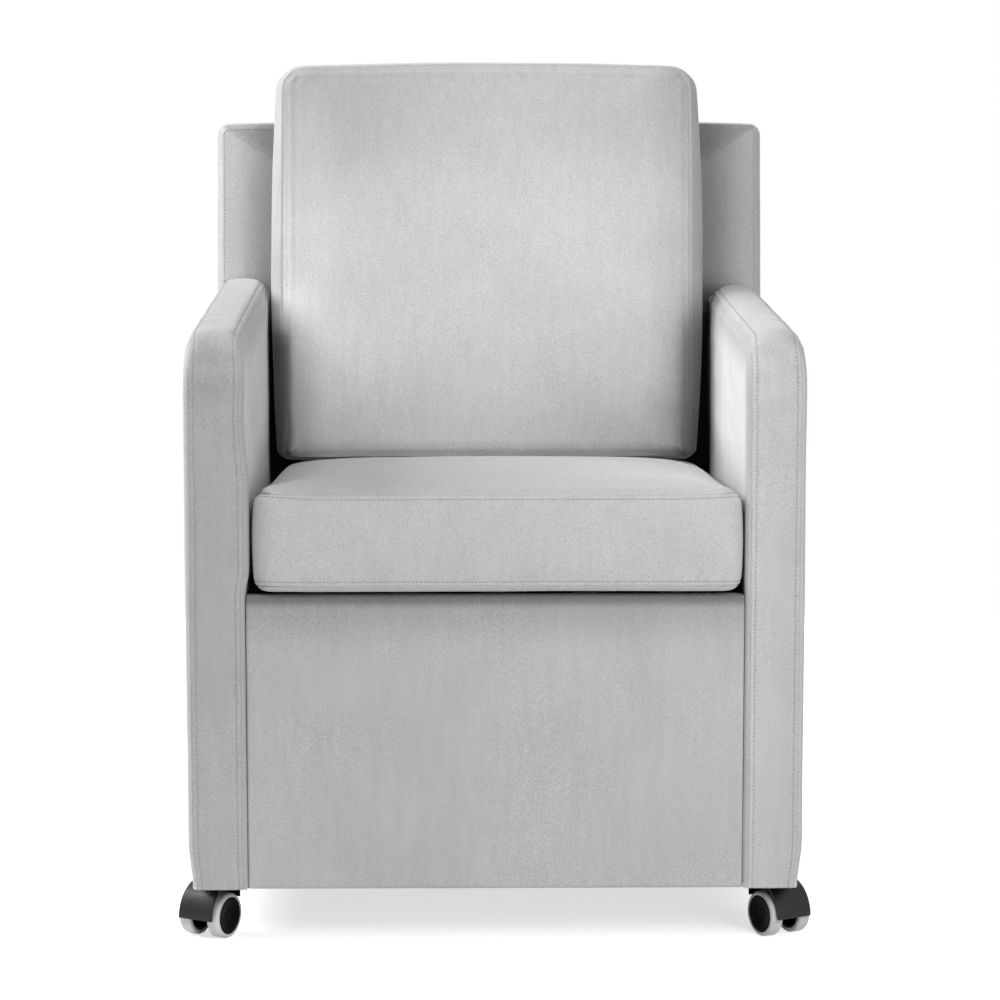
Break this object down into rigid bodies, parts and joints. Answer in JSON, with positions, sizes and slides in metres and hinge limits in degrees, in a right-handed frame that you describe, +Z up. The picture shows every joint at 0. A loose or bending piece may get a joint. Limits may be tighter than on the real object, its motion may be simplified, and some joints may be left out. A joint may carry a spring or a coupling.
{
  "type": "upholstered armchair on castors",
  "caption": "Low armchair covered all over in plain velour, with a boxed seat cushion, a boxed back cushion on a leaning padded back, straight padded arms and swivel castors.",
  "frame": {"origin": "middle of the footprint, on the floor", "axes": "+Z up, -Y towards the front, +X to the right of someone who stands in front of the chair"},
  "size_m": [0.646, 0.6568, 0.875],
  "materials": {
    "velour": "matte",
    "foam": "matte",
    "wood": "matte",
    "hardboard": "matte",
    "webbing": "matte",
    "spring_steel": "satin",
    "zinc_steel": "satin",
    "castor_plastic": "satin",
    "tread": "matte",
    "dust_cloth": "matte"
  },
  "bodies": {
    "chair": {"left_arm_rail": "wood", "left_front_post": "wood", "left_rear_post": "wood", "left_base_rail": "wood", "left_side_boards": "hardboard", "left_arm_foam": "foam", "left_arm_cover": "velour", "right_arm_rail": "wood", "right_front_post": "wood", "right_rear_post": "wood", "right_base_rail": "wood", "right_side_boards": "hardboard", "right_arm_foam": "foam", "right_arm_cover": "velour", "back_uprights": "wood", "back_top_rail": "wood", "back_middle_rail": "wood", "back_bottom_rail": "wood", "back_webbing": "webbing", "back_foam": "foam", "back_cover": "velour", "back_cushion_core": "foam", "back_cushion_cover": "velour", "seat_side_rails": "wood", "seat_front_rail": "wood", "seat_rear_rail": "wood", "seat_springs": "spring_steel", "spring_clips": "spring_steel", "seat_cushion_core": "foam", "seat_cushion_cover": "velour", "front_panel_board": "wood", "front_panel_cover": "velour", "dust_cover": "dust_cloth", "frame_bolts": "zinc_steel", "castor_plates": "zinc_steel", "castor_screws": "zinc_steel"},
    "castor_front_left_swivel": {"castor_front_left_housing": "castor_plastic", "castor_front_left_axle": "zinc_steel"},
    "castor_front_left_inner_wheel": {"castor_front_left_inner_hub": "castor_plastic", "castor_front_left_inner_tread": "tread"},
    "castor_front_left_outer_wheel": {"castor_front_left_outer_hub": "castor_plastic", "castor_front_left_outer_tread": "tread"},
    "castor_front_right_swivel": {"castor_front_right_housing": "castor_plastic", "castor_front_right_axle": "zinc_steel"},
    "castor_front_right_inner_wheel": {"castor_front_right_inner_hub": "castor_plastic", "castor_front_right_inner_tread": "tread"},
    "castor_front_right_outer_wheel": {"castor_front_right_outer_hub": "castor_plastic", "castor_front_right_outer_tread": "tread"},
    "castor_rear_left_swivel": {"castor_rear_left_housing": "castor_plastic", "castor_rear_left_axle": "zinc_steel"},
    "castor_rear_left_inner_wheel": {"castor_rear_left_inner_hub": "castor_plastic", "castor_rear_left_inner_tread": "tread"},
    "castor_rear_left_outer_wheel": {"castor_rear_left_outer_hub": "castor_plastic", "castor_rear_left_outer_tread": "tread"},
    "castor_rear_right_swivel": {"castor_rear_right_housing": "castor_plastic", "castor_rear_right_axle": "zinc_steel"},
    "castor_rear_right_inner_wheel": {"castor_rear_right_inner_hub": "castor_plastic", "castor_rear_right_inner_tread": "tread"},
    "castor_rear_right_outer_wheel": {"castor_rear_right_outer_hub": "castor_plastic", "castor_rear_right_outer_tread": "tread"}
  },
  "joints": [
    {"name": "castor_front_left_turn", "type": "hinge", "parent": "chair", "child": "castor_front_left_swivel", "pos_m": [-0.283, -0.25303, 0.0567], "axis": [0, 0, 1], "continuous": true},
    {"name": "castor_front_left_inner_spin", "type": "hinge", "parent": "castor_front_left_swivel", "child": "castor_front_left_inner_wheel", "pos_m": [-0.2915, -0.26776, 0.0232], "axis": [0.866, -0.5, 0], "continuous": true},
    {"name": "castor_front_left_outer_spin", "type": "hinge", "parent": "castor_front_left_swivel", "child": "castor_front_left_outer_wheel", "pos_m": [-0.2915, -0.26776, 0.0232], "axis": [0.866, -0.5, 0], "continuous": true},
    {"name": "castor_front_right_turn", "type": "hinge", "parent": "chair", "child": "castor_front_right_swivel", "pos_m": [0.283, -0.25303, 0.0567], "axis": [0, 0, 1], "continuous": true},
    {"name": "castor_front_right_inner_spin", "type": "hinge", "parent": "castor_front_right_swivel", "child": "castor_front_right_inner_wheel", "pos_m": [0.2915, -0.26776, 0.0232], "axis": [0.866, 0.5, 0], "continuous": true},
    {"name": "castor_front_right_outer_spin", "type": "hinge", "parent": "castor_front_right_swivel", "child": "castor_front_right_outer_wheel", "pos_m": [0.2915, -0.26776, 0.0232], "axis": [0.866, 0.5, 0], "continuous": true},
    {"name": "castor_rear_left_turn", "type": "hinge", "parent": "chair", "child": "castor_rear_left_swivel", "pos_m": [-0.283, 0.1935, 0.0567], "axis": [0, 0, 1], "continuous": true},
    {"name": "castor_rear_left_inner_spin", "type": "hinge", "parent": "castor_rear_left_swivel", "child": "castor_rear_left_inner_wheel", "pos_m": [-0.28881, 0.17753, 0.0232], "axis": [0.9397, -0.342, 0], "continuous": true},
    {"name": "castor_rear_left_outer_spin", "type": "hinge", "parent": "castor_rear_left_swivel", "child": "castor_rear_left_outer_wheel", "pos_m": [-0.28881, 0.17753, 0.0232], "axis": [0.9397, -0.342, 0], "continuous": true},
    {"name": "castor_rear_right_turn", "type": "hinge", "parent": "chair", "child": "castor_rear_right_swivel", "pos_m": [0.283, 0.1935, 0.0567], "axis": [0, 0, 1], "continuous": true},
    {"name": "castor_rear_right_inner_spin", "type": "hinge", "parent": "castor_rear_right_swivel", "child": "castor_rear_right_inner_wheel", "pos_m": [0.28881, 0.17753, 0.0232], "axis": [0.9397, 0.342, 0], "continuous": true},
    {"name": "castor_rear_right_outer_spin", "type": "hinge", "parent": "castor_rear_right_swivel", "child": "castor_rear_right_outer_wheel", "pos_m": [0.28881, 0.17753, 0.0232], "axis": [0.9397, 0.342, 0], "continuous": true}
  ]
}
